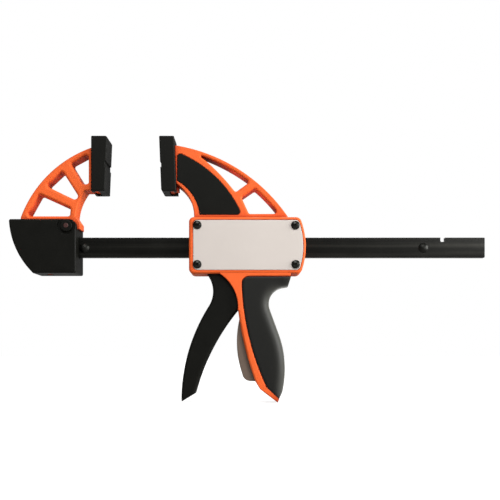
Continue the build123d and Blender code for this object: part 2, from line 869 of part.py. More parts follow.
with BuildSketch(Plane.XZ) as pin_ears:
    with Locations((trigger_pivot_x, trigger_pivot_z)):
        Circle(trigger_eye_radius)
    with Locations((trigger_pivot_x, (trigger_pivot_z + cavity_top + 1) / 2)):
        Rectangle(2 * trigger_eye_radius, cavity_top + 1 - trigger_pivot_z)
    with Locations((release_pivot_x, release_pivot_z)):
        Circle(release_eye_radius)
    with Locations((release_pivot_x, cavity_bottom - 2)):
        Rectangle(2 * release_eye_radius, 4)

with BuildSketch(Plane.XZ) as plate_recess:
    add(plate_outline.sketch_local)
    offset(amount=slide_gap)

with BuildPart() as body_frame:
    # jaw
    with BuildSketch(Plane.XZ):
        with BuildLine():
            root = housing_top - housing_edge_round - 1
            throat_low = arc_point(moving_throat_centre, moving_throat_radius, root)
            throat_high = arc_point(moving_throat_centre, moving_throat_radius, moving_throat_top)
            jaw_high = arc_point(moving_outer_centre, moving_outer_radius, moving_jaw_top)
            jaw_low = arc_point(moving_outer_centre, moving_outer_radius, root)
            seat_high = line_x(moving_back_bottom, moving_back_top, moving_jaw_top) + slide_gap
            arc_between(moving_throat_centre, moving_throat_radius, root, moving_throat_top)
            Polyline(throat_high, (seat_high, moving_jaw_top), jaw_high)
            arc_between(moving_outer_centre, moving_outer_radius, moving_jaw_top, root)
            Line(jaw_low, throat_low)
        make_face()
    extrude(amount=jaw_half_width, both=True)
    # jaw windows
    with BuildSketch(Plane.XZ) as front_window:
        with BuildLine():
            ThreePointArc(front_window_tip, front_window_rim, front_window_end)
            Line(front_window_end, front_window_root)
            ThreePointArc(front_window_root, front_window_inner, front_window_tip)
        make_face()
        fillet(vertices_at([front_window_end, front_window_root]), window_round)
        fillet(vertices_at([front_window_tip]), window_tip_round)
    extrude(amount=jaw_half_width + 1, both=True, mode=Mode.SUBTRACT)
    with BuildSketch(Plane.XZ) as rear_window:
        apex = arc_point(moving_outer_centre, rear_window_radius, 54.8)
        heel = arc_point(moving_outer_centre, rear_window_radius, jaw_foot_z)
        with BuildLine():
            arc_between(moving_outer_centre, rear_window_radius, 54.8, jaw_foot_z)
            Polyline(heel, (132.9, jaw_foot_z), (125.8, 46.4), apex)
        make_face()
        fillet(rear_window.vertices(), window_round)
    extrude(amount=jaw_half_width + 1, both=True, mode=Mode.SUBTRACT)
    fillet(window_rims(body_frame), moving_window_edge_round)
    fillet(long_rims(body_frame), jaw_edge_round)
    # housing ring with rounded outer edges
    extrude(to_extrude=housing_outline.sketch, amount=housing_half_width, both=True)
    ring_sides = body_frame.faces().filter_by(Axis.Y)
    ring_sides = [f for f in ring_sides if abs(f.center().Y) > housing_half_width - 0.01]
    fillet(ShapeList(ring_sides).edges(), housing_edge_round)
    add_foot(moving_back_bottom, moving_back_top, -1)
    # handle: the thin core under the grip and the bead that frames the grip
    add(handle_core(0).part)
    add(rounded_bead().part)
    # cavity for the mechanism, open to both sides under the plates
    with BuildSketch(Plane.XZ) as cavity:
        with Locations(((cavity_front + cavity_rear) / 2, (cavity_top + cavity_bottom) / 2)):
            Rectangle(cavity_rear - cavity_front, cavity_top - cavity_bottom)
        fillet(cavity.vertices(), cavity_corner)
        # rib behind the drive spring, with the nose that the brake plate leans on
        Polygon(
            (rib_front, rib_bottom),
            (rib_front + rib_thickness, rib_bottom),
            (rib_front + rib_thickness, brake_fulcrum_z - 2),
            (brake_fulcrum_x - running_gap, brake_fulcrum_z - 1),
            (brake_fulcrum_x - running_gap, cavity_top + 1),
            (rib_front, cavity_top + 1),
            align=None,
            mode=Mode.SUBTRACT,
        )
    extrude(amount=housing_half_width, both=True, mode=Mode.SUBTRACT)
    # ears that carry the two pivot pins
    for side in (-1, 1):
        ear_plane = pin_ears.sketch.moved(Location((0, side * (trigger_half_width + 0.4), 0)))
        extrude(to_extrude=ear_plane, amount=plate_seat - trigger_half_width - 0.4, dir=(0, side, 0))
    # channel down the neck and handle, open towards the trigger
    extrude(
        to_extrude=channel_outline.sketch,
        amount=channel_half_width,
        both=True,
        mode=Mode.SUBTRACT,
    )
    # pin holes, passage for the bar, seats of the side plates, screw holes
    with BuildSketch(Plane.XZ):
        with Locations((trigger_pivot_x, trigger_pivot_z)):
            Circle(trigger_pin_radius + fit)
        with Locations((release_pivot_x, release_pivot_z)):
            Circle(release_pin_radius + fit)
    extrude(amount=plate_seat, both=True, mode=Mode.SUBTRACT)
    with BuildSketch(Plane.YZ.offset(housing_front - 1)):
        Rectangle(bar_slot_width, bar_slot_height)
    extrude(amount=housing_rear - housing_front + 2, mode=Mode.SUBTRACT)
    for side in (-1, 1):
        recess_face = plate_recess.sketch.moved(Location((0, side * plate_seat, 0)))
        extrude(
            to_extrude=recess_face, amount=plate_thickness + 1, dir=(0, side, 0), mode=Mode.SUBTRACT
        )
    with BuildSketch(Plane.XZ):
        with Locations(*screw_spots):
            Circle(sleeve_radius + fit)
    extrude(amount=housing_half_width, both=True, mode=Mode.SUBTRACT)
    # recesses for the black inserts in the sides of the jaw
    for side in (-1, 1):
        insert_face = insert_recess.sketch.moved(Location((0, side * insert_floor, 0)))
        extrude(to_extrude=insert_face, amount=insert_depth + 1, dir=(0, side, 0), mode=Mode.SUBTRACT)
save(body_frame, "body_frame")


def side_plate(side, hole_radius):
    """A bare steel plate in its seat on one side of the housing."""
    with BuildPart() as plate:
        plate_face = plate_outline.sketch.moved(Location((0, side * plate_seat, 0)))
        extrude(to_extrude=plate_face, amount=plate_thickness, dir=(0, side, 0))
        outside = plate.faces().sort_by(Axis.Y)[-1 if side > 0 else 0]
        fillet(outside.edges(), 0.4)
        with BuildSketch(Plane.XZ):
            with Locations(*screw_spots):
                Circle(hole_radius)
        extrude(amount=housing_half_width + 1, both=True, mode=Mode.SUBTRACT)
    return plate


save(side_plate(-1, screw_shank_radius + fit), "side_plate_left")
save(side_plate(1, sleeve_radius + fit), "side_plate_right")


def domed_section(x, side, shank_radius, shank_end):
    """Half the section of a domed head and its shank, drawn in the open line."""
    seat = side * housing_half_width
    rim = side * (housing_half_width + screw_rim_height)
    dome = dome_at(screw_head_radius, screw_dome_height, screw_head_radius / 2)
    bulge = side * (housing_half_width + screw_rim_height + dome)
    crown = side * (housing_half_width + screw_rim_height + screw_dome_height)
    rim_x = x + screw_head_radius
    Polyline(
        (x, crown),
        (x, shank_end),
        (x + shank_radius, shank_end),
        (x + shank_radius, seat),
        (rim_x, seat),
        (rim_x, rim),
    )
    ThreePointArc((rim_x, rim), (x + screw_head_radius / 2, bulge), (x, crown))


# Screws with a hexagon socket from the left, sleeve nuts that they run into from the right.
with BuildPart() as plate_screws:
    for x, z in screw_spots:
        with BuildSketch(Plane.XY.offset(z)):
            with BuildLine():
                domed_section(x, -1, screw_shank_radius, housing_half_width - 4)
            make_face()
        revolve(axis=Axis((x, 0, z), (0, 1, 0)))
    with BuildSketch(Plane.XZ.offset(housing_half_width + screw_rim_height + screw_dome_height)):
        with Locations(*screw_spots):
            RegularPolygon(socket_radius, 6)
    extrude(amount=-socket_depth, mode=Mode.SUBTRACT)
save(plate_screws, "plate_screws")

with BuildPart() as plate_sleeve_nuts:
    for x, z in screw_spots:
        with BuildSketch(Plane.XY.offset(z)):
            with BuildLine():
                domed_section(x, 1, sleeve_radius, 1)
            make_face()
        revolve(axis=Axis((x, 0, z), (0, 1, 0)))
    with BuildSketch(Plane.XZ.offset(-(housing_half_width - 3))):
        with Locations(*screw_spots):
            Circle(screw_shank_radius + fit)
    extrude(amount=housing_half_width, mode=Mode.SUBTRACT)
save(plate_sleeve_nuts, "plate_sleeve_nuts")


def jaw_insert(side):
    """The black panel clipped into one side of the sliding jaw."""
    with BuildPart() as panel:
        face = insert_outline.sketch.moved(Location((0, side * insert_floor, 0)))
        extrude(to_extrude=face, amount=insert_depth + insert_proud, dir=(0, side, 0))
        outside = panel.faces().sort_by(Axis.Y)[-1 if side > 0 else 0]
        fillet(outside.edges(), 0.5)
    return panel


save(jaw_insert(-1), "jaw_insert_left")
save(jaw_insert(1), "jaw_insert_right")

# ---------------------------------------------------------------- soft grip
# Rubber moulded round the back of the handle; it leaves the orange bead free in front.
with BuildPart() as handle_grip:
    extrude(to_extrude=grip_outline.sketch, amount=handle_half_width, both=True)
    fillet(back_rims(handle_grip, handle_half_width), grip_round)
    add(handle_core(fit).part, mode=Mode.SUBTRACT)
save(handle_grip, "handle_grip")

# ---------------------------------------------------------------- trigger
trigger_high_centre = (73.6, -42.0)
trigger_high_radius = 25.6
trigger_low_centre = (236.0, -144.6)
finger_run = trigger_low_centre[0] - trigger_high_centre[0]
finger_drop = trigger_low_centre[1] - trigger_high_centre[1]
finger_reach = hypot(finger_run, finger_drop)
trigger_low_radius = finger_reach - trigger_high_radius
trigger_bend = trigger_high_centre[1] + trigger_high_radius * finger_drop / finger_reach
trigger_rear_centre = (280.6, -189.4)
trigger_rear_radius = 204.8
trigger_tip = (69.9, -145.2)
trigger_heel = -137.6
trigger_shoulder = -56.5
web_top = -19.0
fan_start = (110.0, -24.5)
fan_middle = (119.8, -35.5)

with BuildPart() as trigger:
    with BuildSketch(Plane.XZ) as trigger_profile:
        with BuildLine():
            high_start = arc_point(trigger_high_centre, trigger_high_radius, -27.9)
            low_end = arc_point(trigger_low_centre, trigger_low_radius, -141.5, -1)
            heel_point = arc_point(trigger_rear_centre, trigger_rear_radius, trigger_heel, -1)
            fan_end = arc_point(trigger_rear_centre, trigger_rear_radius, trigger_shoulder, -1)
            arc_between(trigger_high_centre, trigger_high_radius, -27.9, trigger_bend)
            arc_between(trigger_low_centre, trigger_low_radius, trigger_bend, -141.5, -1)
            Polyline(low_end, trigger_tip, heel_point)
            arc_between(
                trigger_rear_centre, trigger_rear_radius, trigger_heel, trigger_shoulder, -1
            )
            ThreePointArc(fan_end, fan_middle, fan_start)
            Polyline(
                fan_start,
                (trigger_nose_x, trigger_nose_z - trigger_nose_radius),
                (trigger_nose_x, trigger_nose_z + trigger_nose_radius),
                (trigger_pivot_x + trigger_eye_radius, trigger_pivot_z - 4),
                (trigger_pivot_x + trigger_eye_radius, trigger_pivot_z),
                (trigger_pivot_x - trigger_eye_radius, trigger_pivot_z),
                (trigger_pivot_x - trigger_eye_radius, web_top),
                high_start,
            )
        make_face()
    extrude(amount=trigger_half_width, both=True)
    sides = trigger.edges().filter_by(lambda e: abs(e.center().Y) > trigger_half_width - 0.01)
    finger_edges = sides.filter_by(GeomType.CIRCLE).filter_by(
        lambda e: e.center().X < trigger_pivot_x - trigger_web
    )
    fillet(finger_edges, trigger_edge_round)
    with BuildSketch(Plane.XZ):
        with Locations((trigger_pivot_x, trigger_pivot_z)):
            Circle(trigger_eye_radius)
        with Locations((trigger_nose_x, trigger_nose_z)):
            Circle(trigger_nose_radius)
    extrude(amount=trigger_half_width, both=True)
    # channel between the cheeks, open to the rear, closed by the web in front and below
    with BuildSketch(Plane.XZ):
        with BuildLine():
            inner_high = trigger_high_radius + trigger_web
            inner_low = trigger_low_radius - trigger_web
            high_top = arc_point(trigger_high_centre, inner_high, -27.9)
            inner_bend = trigger_high_centre[1] + inner_high * finger_drop / finger_reach
            low_foot = arc_point(trigger_low_centre, inner_low, -139.0, -1)
            Polyline(
                (trigger_pivot_x - 20, trigger_pivot_z + 20),
                (trigger_pivot_x - 20, web_top),
                (high_top[0], web_top),
                high_top,
            )
            arc_between(trigger_high_centre, inner_high, -27.9, inner_bend)
            arc_between(trigger_low_centre, inner_low, inner_bend, -139.0, -1)
            Polyline(
                low_foot,
                (low_foot[0] + 20, -139.0 + 20 * 0.655),
                (150.0, -60.0),
                (150.0, trigger_pivot_z + 20),
                (trigger_pivot_x - 20, trigger_pivot_z + 20),
            )
        make_face()
    extrude(amount=trigger_half_width - trigger_cheek, both=True, mode=Mode.SUBTRACT)
    with BuildSketch(Plane.XZ):
        with Locations((trigger_pivot_x, trigger_pivot_z)):
            Circle(trigger_pin_radius + 0.05)
    extrude(amount=trigger_half_width + 1, both=True, mode=Mode.SUBTRACT)
save(trigger, "trigger")


def pivot_pin(x, z, radius):
    """A steel pin from plate to plate."""
    with BuildPart() as pin:
        with BuildSketch(Plane.XZ):
            with Locations((x, z)):
                Circle(radius)
        extrude(amount=plate_seat - fit, both=True)
        chamfer(pin.edges(), 0.3)
    return pin


save(pivot_pin(trigger_pivot_x, trigger_pivot_z, trigger_pin_radius), "trigger_pivot_pin")
save(pivot_pin(release_pivot_x, release_pivot_z, release_pin_radius), "release_pivot_pin")

# ---------------------------------------------------------------- release lever
paddle_centre = (215.0, -89.0)
paddle_radius = 93.5

with BuildPart() as release_lever:
    with BuildSketch(Plane.XZ) as lever_profile:
        with BuildLine():
            paddle_high = arc_point(paddle_centre, paddle_radius, -64.5, -1)
            paddle_low = arc_point(paddle_centre, paddle_radius, -119.5, -1)
            arc_between(paddle_centre, paddle_radius, -64.5, -119.5, -1)
            ThreePointArc(paddle_low, (129.0, -124.0), (134.5, -126.1))
            Polyline(
                (134.5, -126.1),
                (141.3, -126.3),
                (140.5, -90.0),
                (135.0, -60.0),
                (140.0, -36.0),
                (144.6, -31.5),
                (144.6, -29.0),
                (release_pivot_x + release_eye_radius, -25.5),
                (release_pivot_x + release_eye_radius, release_pivot_z),
                (release_pivot_x - release_eye_radius, release_pivot_z),
                (131.0, -30.0),
                (126.5, -48.0),
                paddle_high,
            )
        make_face()
    extrude(amount=release_half_width, both=True)
    sides = release_lever.edges().filter_by(lambda e: abs(e.center().Y) > release_half_width - 0.01)
    fillet(sides.filter_by(lambda e: e.length > 50).sort_by(Axis.X)[:2], release_edge_round)
    with BuildSketch(Plane.XZ):
        with Locations((release_pivot_x, release_pivot_z)):
            Circle(release_eye_radius)
    extrude(amount=release_half_width, both=True)
    # the paddle is a channel open to the rear
    with BuildSketch(Plane.XZ):
        with BuildLine():
            inner_paddle = paddle_radius - release_wall
            top = arc_point(paddle_centre, inner_paddle, -64.5, -1)
            foot = arc_point(paddle_centre, inner_paddle, -119.0, -1)
            arc_between(paddle_centre, inner_paddle, -64.5, -119.0, -1)
            Polyline(
                foot, (133.0, -123.4), (150.0, -125.0), (150.0, -45.0), (130.0, -45.0), top
            )
        make_face()
    extrude(amount=release_half_width - release_wall, both=True, mode=Mode.SUBTRACT)
    with BuildSketch(Plane.XZ):
        with Locations((release_pivot_x, release_pivot_z)):
            Circle(release_pin_radius + 0.05)
    extrude(amount=release_half_width + 1, both=True, mode=Mode.SUBTRACT)
save(release_lever, "release_lever")


# ---------------------------------------------------------------- drive and brake
def drive_plate(x):
    """A hardened plate with a rectangular hole that grips the bar when it is pushed."""
    with BuildPart() as plate:
        with BuildSketch(Plane.YZ.offset(x)) as face:
            with Locations((0, (drive_plate_low + drive_plate_high) / 2)):
                Rectangle(2 * drive_plate_half_width, drive_plate_high - drive_plate_low)
            fillet(face.vertices(), 2.0)
            Rectangle(grip_hole_width, grip_hole_height, mode=Mode.SUBTRACT)
        extrude(amount=grip_plate_thickness)
    return plate


drive_plate_x = trigger_nose_x + trigger_nose_radius + running_gap + 0.2
second_plate_x = drive_plate_x + grip_plate_thickness + drive_plate_gap
save(drive_plate(drive_plate_x), "drive_plate_front")
save(drive_plate(second_plate_x), "drive_plate_rear")

tilt = radians(brake_tilt)
brake_plane = Plane(
    origin=(brake_fulcrum_x, 0, brake_fulcrum_z),
    x_dir=(0, 1, 0),
    z_dir=(cos(tilt), 0, -sin(tilt)),
)
with BuildPart() as brake_plate:
    with BuildSketch(brake_plane) as face:
        shoulder = brake_shoulder_z - brake_fulcrum_z
        tail_end = brake_low - brake_fulcrum_z
        head = brake_high - brake_fulcrum_z
        Polygon(
            (-brake_half_width, head),
            (-brake_half_width, shoulder),
            (-brake_tail_half_width, shoulder - 2),
            (-brake_tail_half_width, tail_end),
            (brake_tail_half_width, tail_end),
            (brake_tail_half_width, shoulder - 2),
            (brake_half_width, shoulder),
            (brake_half_width, head),
            align=None,
        )
        fillet(face.vertices(), 1.0)
        with Locations((0, -brake_fulcrum_z / cos(tilt))):
            Rectangle(grip_hole_width, grip_hole_height, mode=Mode.SUBTRACT)
    extrude(amount=grip_plate_thickness)
save(brake_plate, "brake_plate")

drive_spring_start = second_plate_x + grip_plate_thickness + drive_spring_wire / 2 + 0.1
drive_spring_length = rib_front - drive_spring_wire / 2 - 0.1 - drive_spring_start
save(
    coil(
        spring_radius,
        drive_spring_wire,
        drive_spring_turns,
        (drive_spring_start, 0, 0),
        drive_spring_length,
        (1, 0, 0),
    ),
    "drive_spring",
)
brake_rear = brake_fulcrum_x + grip_plate_thickness
brake_spring_start = brake_rear + brake_spring_wire / 2
brake_spring_length = cavity_rear - brake_spring_wire / 2 - 0.1 - brake_spring_start
save(
    coil(
        spring_radius,
        brake_spring_wire,
        brake_spring_turns,
        (brake_spring_start, 0, 0),
        brake_spring_length,
        (1, 0, 0),
    ),
    "brake_spring",
)
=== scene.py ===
"""One-handed quick release bar clamp: finishes, studio and camera."""

import math

import bpy
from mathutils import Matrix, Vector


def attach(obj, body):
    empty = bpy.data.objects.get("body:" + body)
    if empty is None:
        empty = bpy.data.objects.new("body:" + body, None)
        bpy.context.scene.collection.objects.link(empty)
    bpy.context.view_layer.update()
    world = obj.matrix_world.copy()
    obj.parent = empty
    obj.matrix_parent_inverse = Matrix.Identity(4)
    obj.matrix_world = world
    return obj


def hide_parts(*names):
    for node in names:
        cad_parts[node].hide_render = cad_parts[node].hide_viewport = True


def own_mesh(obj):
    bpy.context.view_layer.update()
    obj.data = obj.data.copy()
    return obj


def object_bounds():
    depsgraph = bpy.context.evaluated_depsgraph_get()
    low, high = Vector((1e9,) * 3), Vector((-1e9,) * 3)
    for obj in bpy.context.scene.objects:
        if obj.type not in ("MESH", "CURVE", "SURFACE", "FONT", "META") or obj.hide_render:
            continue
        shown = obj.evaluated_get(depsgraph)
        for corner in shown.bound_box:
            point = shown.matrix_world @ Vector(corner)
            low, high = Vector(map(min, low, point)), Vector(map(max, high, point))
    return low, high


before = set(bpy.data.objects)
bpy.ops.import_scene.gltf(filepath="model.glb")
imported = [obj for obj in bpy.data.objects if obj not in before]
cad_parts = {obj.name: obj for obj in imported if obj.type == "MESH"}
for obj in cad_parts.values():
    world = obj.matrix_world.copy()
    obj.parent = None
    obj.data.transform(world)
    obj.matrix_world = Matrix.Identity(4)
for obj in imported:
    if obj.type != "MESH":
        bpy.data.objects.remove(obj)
cad_box = [list(corner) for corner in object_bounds()]

# ------------------------------------------------------------------ bar
# The bar is 19 x 6 mm cold-drawn flat steel, sawn to length and blackened in a hot salt bath.
# Drawing leaves long fine lines along it, and the bath leaves slightly uneven dark patches.
# The housing slides along it and has worn it a little in long streaks.


def swatch(code):
    """A colour written as sRGB hex, in the linear numbers that a shader takes."""
    shares = [int(code[i : i + 2], 16) / 255 for i in (1, 3, 5)]
    linear = [s / 12.92 if s <= 0.04045 else ((s + 0.055) / 1.055) ** 2.4 for s in shares]
    return (*linear, 1.0)


def put(material, kind, sockets, **settings):
    """Adds a node: plain values go on its sockets, and a (node, output) pair is linked."""
    node = material.node_tree.nodes.new(kind)
    for name, value in settings.items():
        setattr(node, name, value)
    for socket, value in sockets.items():
        if isinstance(value, tuple) and isinstance(value[0], bpy.types.Node):
            material.node_tree.links.new(value[0].outputs[value[1]], node.inputs[socket])
        else:
            node.inputs[socket].default_value = value
    return node


def blank(name):
    """A new material with nothing in it."""
    material = bpy.data.materials.new(name)
    material.use_nodes = True
    material.node_tree.nodes.clear()
    return material


def finish_with(material, shader):
    """Joins the shader to the material's output."""
    put(material, "ShaderNodeOutputMaterial", {"Surface": (shader, 0)})


def dress(material, *nodes):
    """Gives these pieces of the frame that finish."""
    for name in nodes:
        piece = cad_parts[name]
        for place in piece.material_slots:
            place.material = material


# blackened cold-drawn steel: near-black with a soft lengthwise gleam and fine drawing lines;
# the drawn faces are very slightly crowned, which keeps the gleam in the upper half; the real
# lines are about 0.1 mm apart and are drawn at 0.45 mm so that they show
drawn_line_mm = 0.45
streak_mm = 4.0
patch_mm = 30.0
half_height = 0.0095
crown = 0.0003
sawn_edge = 0.0003
line_depth = 0.00004

blackened = blank("steel_cold_drawn_blackened")
place = put(blackened, "ShaderNodeTexCoord", {})
along = put(
    blackened, "ShaderNodeMapping", {"Vector": (place, "Object"), "Scale": (0.01, 1.0, 1.0)}
)
lines = put(
    blackened,
    "ShaderNodeTexNoise",
    {"Vector": (along, 0), "Scale": 1000 / drawn_line_mm, "Detail": 3.0, "Roughness": 0.6},
)
patches = put(
    blackened,
    "ShaderNodeTexNoise",
    {"Vector": (place, "Object"), "Scale": 1000 / patch_mm, "Detail": 5.0, "Roughness": 0.55},
)
streaks = put(
    blackened,
    "ShaderNodeTexNoise",
    {"Vector": (along, 0), "Scale": 1000 / streak_mm, "Detail": 4.0, "Roughness": 0.6},
)
worn = put(
    blackened,
    "ShaderNodeMapRange",
    {"Value": (streaks, 0), "From Min": 0.45, "From Max": 0.72, "To Min": 0.0, "To Max": 1.0},
)
base = put(
    blackened,
    "ShaderNodeMix",
    {"Factor": (patches, 0), 6: swatch("#0F0F0C"), 7: swatch("#151511")},
    data_type="RGBA",
)
tint = put(
    blackened,
    "ShaderNodeMix",
    {"Factor": (worn, 0), 6: (base, 2), 7: swatch("#2E2D29")},
    data_type="RGBA",
)
gloss = put(
    blackened,
    "ShaderNodeMapRange",
    {"Value": (patches, 0), "From Min": 0.3, "From Max": 0.7, "To Min": 0.32, "To Max": 0.38},
)
edge = put(blackened, "ShaderNodeBevel", {"Radius": sawn_edge}, samples=4)
height = put(blackened, "ShaderNodeSeparateXYZ", {"Vector": (place, "Object")})
share = put(blackened, "ShaderNodeMath", {0: (height, "Z"), 1: half_height}, operation="DIVIDE")
fall = put(blackened, "ShaderNodeMath", {0: (share, 0), 1: (share, 0)}, operation="MULTIPLY")
rise = put(blackened, "ShaderNodeMath", {0: 1.0, 1: (fall, 0)}, operation="SUBTRACT")
crowned = put(
    blackened,
    "ShaderNodeBump",
    {"Height": (rise, 0), "Strength": 1.0, "Distance": crown, "Normal": (edge, 0)},
)
relief = put(
    blackened,
    "ShaderNodeBump",
    {"Height": (lines, 0), "Strength": 0.22, "Distance": line_depth, "Normal": (crowned, 0)},
)
steel = put(
    blackened,
    "ShaderNodeBsdfPrincipled",
    {
        "Base Color": (tint, 2),
        "Roughness": (gloss, 0),
        "Metallic": 0.7,
        "Normal": (relief, 0),
    },
)
finish_with(blackened, steel)
dress(blackened, "bar")

# ------------------------------------------------------------------ stop studs
# A turned steel rivet just inboard of each notch keeps the sliding jaw on the bar. Its round
# heads are rubbed a little brighter than the bar by the housing that runs up against them.

# turned steel: satin, with a fine uneven rub that breaks its gleam
rub_mm = 1.2
rub_depth = 0.00005

rubbed = blank("steel_turned_rubbed_black")
place = put(rubbed, "ShaderNodeTexCoord", {})
rub = put(
    rubbed,
    "ShaderNodeTexNoise",
    {"Vector": (place, "Object"), "Scale": 1000 / rub_mm, "Detail": 4.0},
)
tint = put(
    rubbed,
    "ShaderNodeMix",
    {"Factor": (rub, 0), 6: swatch("#12120F"), 7: swatch("#1E1E1A")},
    data_type="RGBA",
)
relief = put(
    rubbed, "ShaderNodeBump", {"Height": (rub, 0), "Strength": 0.15, "Distance": rub_depth}
)
steel = put(
    rubbed,
    "ShaderNodeBsdfPrincipled",
    {"Base Color": (tint, 2), "Roughness": 0.42, "Metallic": 0.7, "Normal": (relief, 0)},
)
finish_with(rubbed, steel)
dress(rubbed, "front_stop_stud", "rear_stop_stud")

# ------------------------------------------------------------------ fixed jaw frame
# The fixed jaw is injection moulded from orange glass-filled nylon, 18 mm wide, with three
# windows for lightness. Its mould parts along the mid-plane and leaves a fine witness line.

# moulded orange nylon: satin, evenly coloured, with glass fibre that just mottles the gloss;
# painted shade makes it deeper red down in its pockets and along its edges; the real grain is
# about 0.2 mm and is drawn at 0.9 mm so that it shows
grain_mm = 0.9
grain_depth = 0.00006
mottle_mm = 9.0
witness_half_width = 0.00018
witness_height = 0.00012
pocket_shade_reach = 0.012
edge_shade_band = 0.002
moulded_edge = 0.0012
nylon_ior = 1.53

orange = blank("nylon_glass_filled_orange_moulded")
place = put(orange, "ShaderNodeTexCoord", {})
grain = put(
    orange,
    "ShaderNodeTexNoise",
    {"Vector": (place, "Object"), "Scale": 1000 / grain_mm, "Detail": 2.0, "Roughness": 0.5},
)
mottle = put(
    orange,
    "ShaderNodeTexNoise",
    {"Vector": (place, "Object"), "Scale": 1000 / mottle_mm, "Detail": 5.0, "Roughness": 0.6},
)
face = put(
    orange,
    "ShaderNodeMix",
    {"Factor": (mottle, 0), 6: swatch("#F0622A"), 7: swatch("#F86E34")},
    data_type="RGBA",
)
# painted shade: ambient occlusion finds the near walls of windows and pockets, and there the
# orange is darkened towards deep red
painted_pocket_shade = put(orange, "ShaderNodeAmbientOcclusion", {"Distance": pocket_shade_reach}, samples=8)
depth = put(
    orange,
    "ShaderNodeMapRange",
    {"Value": (painted_pocket_shade, "AO"), "From Min": 0.42, "From Max": 0.94, "To Min": 0.0, "To Max": 1.0},
)
# painted shade: at edges, where the bevelled normal turns away from the true one, the orange is
# darkened the same way
painted_edge_bevel = put(orange, "ShaderNodeBevel", {"Radius": edge_shade_band}, samples=8)
surface = put(orange, "ShaderNodeNewGeometry", {})
flatness = put(
    orange,
    "ShaderNodeVectorMath",
    {0: (painted_edge_bevel, 0), 1: (surface, "Normal")},
    operation="DOT_PRODUCT",
)
edge_unshaded = put(
    orange,
    "ShaderNodeMapRange",
    {"Value": (flatness, "Value"), "From Min": 0.8, "From Max": 1.0, "To Min": 0.4, "To Max": 1.0},
)
pocket_and_edge_unshaded = put(orange, "ShaderNodeMath", {0: (depth, 0), 1: (edge_unshaded, 0)}, operation="MULTIPLY")
# 9C2406 is the painted shade's deep red, mixed in by the pocket and edge masks
tint = put(
    orange,
    "ShaderNodeMix",
    {"Factor": (pocket_and_edge_unshaded, 0), 6: swatch("#9C2406"), 7: (face, 2)},
    data_type="RGBA",
)
gloss = put(
    orange,
    "ShaderNodeMapRange",
    {"Value": (mottle, 0), "From Min": 0.3, "From Max": 0.7, "To Min": 0.5, "To Max": 0.6},
)
across = put(orange, "ShaderNodeSeparateXYZ", {"Vector": (place, "Object")})
from_middle = put(orange, "ShaderNodeMath", {0: (across, "Y")}, operation="ABSOLUTE")
witness = put(
    orange, "ShaderNodeMath", {0: (from_middle, 0), 1: witness_half_width}, operation="LESS_THAN"
)
edge = put(orange, "ShaderNodeBevel", {"Radius": moulded_edge}, samples=6)
seam = put(
    orange,
    "ShaderNodeBump",
    {"Height": (witness, 0), "Strength": 0.5, "Distance": witness_height, "Normal": (edge, 0)},
)
relief = put(
    orange,
    "ShaderNodeBump",
    {"Height": (grain, 0), "Strength": 0.1, "Distance": grain_depth, "Normal": (seam, 0)},
)
nylon = put(
    orange,
    "ShaderNodeBsdfPrincipled",
    {
        "Base Color": (tint, 2),
        "Roughness": (gloss, 0),
        "IOR": nylon_ior,
        "Specular IOR Level": 0.15,
        "Normal": (relief, 0),
    },
)
finish_with(orange, nylon)
dress(orange, "fixed_jaw_frame")

# ------------------------------------------------------------------ covers of the fixed jaw
# Two black nylon shells close over the base of the jaw from left and right. The left one has
# the dished ring around the push button.

# moulded black nylon: deep grey-black with a low satin sheen and a fine spark-eroded grain;
# the real sparks are about 0.1 mm and are drawn at 0.8 mm so that they show
spark_mm = 0.8
spark_depth = 0.00006
tone_mm = 12.0
shell_edge = 0.0006

black = blank("nylon_black_spark_grained")
place = put(black, "ShaderNodeTexCoord", {})
grain = put(
    black,
    "ShaderNodeTexVoronoi",
    {"Vector": (place, "Object"), "Scale": 1000 / spark_mm},
    feature="SMOOTH_F1",
)
mottle = put(
    black,
    "ShaderNodeTexNoise",
    {"Vector": (place, "Object"), "Scale": 1000 / tone_mm, "Detail": 5.0, "Roughness": 0.6},
)
tint = put(
    black,
    "ShaderNodeMix",
    {"Factor": (mottle, 0), 6: swatch("#0C0C09"), 7: swatch("#11110D")},
    data_type="RGBA",
)
gloss = put(
    black,
    "ShaderNodeMapRange",
    {"Value": (mottle, 0), "From Min": 0.3, "From Max": 0.7, "To Min": 0.46, "To Max": 0.56},
)
edge = put(black, "ShaderNodeBevel", {"Radius": shell_edge}, samples=4)
relief = put(
    black,
    "ShaderNodeBump",
    {"Height": (grain, 0), "Strength": 0.14, "Distance": spark_depth, "Normal": (edge, 0)},
)
nylon = put(
    black,
    "ShaderNodeBsdfPrincipled",
    {
        "Base Color": (tint, 2),
        "Roughness": (gloss, 0),
        "IOR": nylon_ior,
        "Specular IOR Level": 0.11,
        "Normal": (relief, 0),
    },
)
finish_with(black, nylon)
dress(black, "fixed_jaw_cover_left", "fixed_jaw_cover_right")

# ------------------------------------------------------------------ push button lock
# The button is black nylon with a dark red plunger through its middle. Behind it sits a
# ground steel key with a tooth for the bar's notch, pushed out by a small coil spring.
dress(black, "jaw_lock_button")

# moulded dark red nylon: almost black, its red only shows where light falls straight on it
small_edge = 0.0003
small_depth = 0.00005

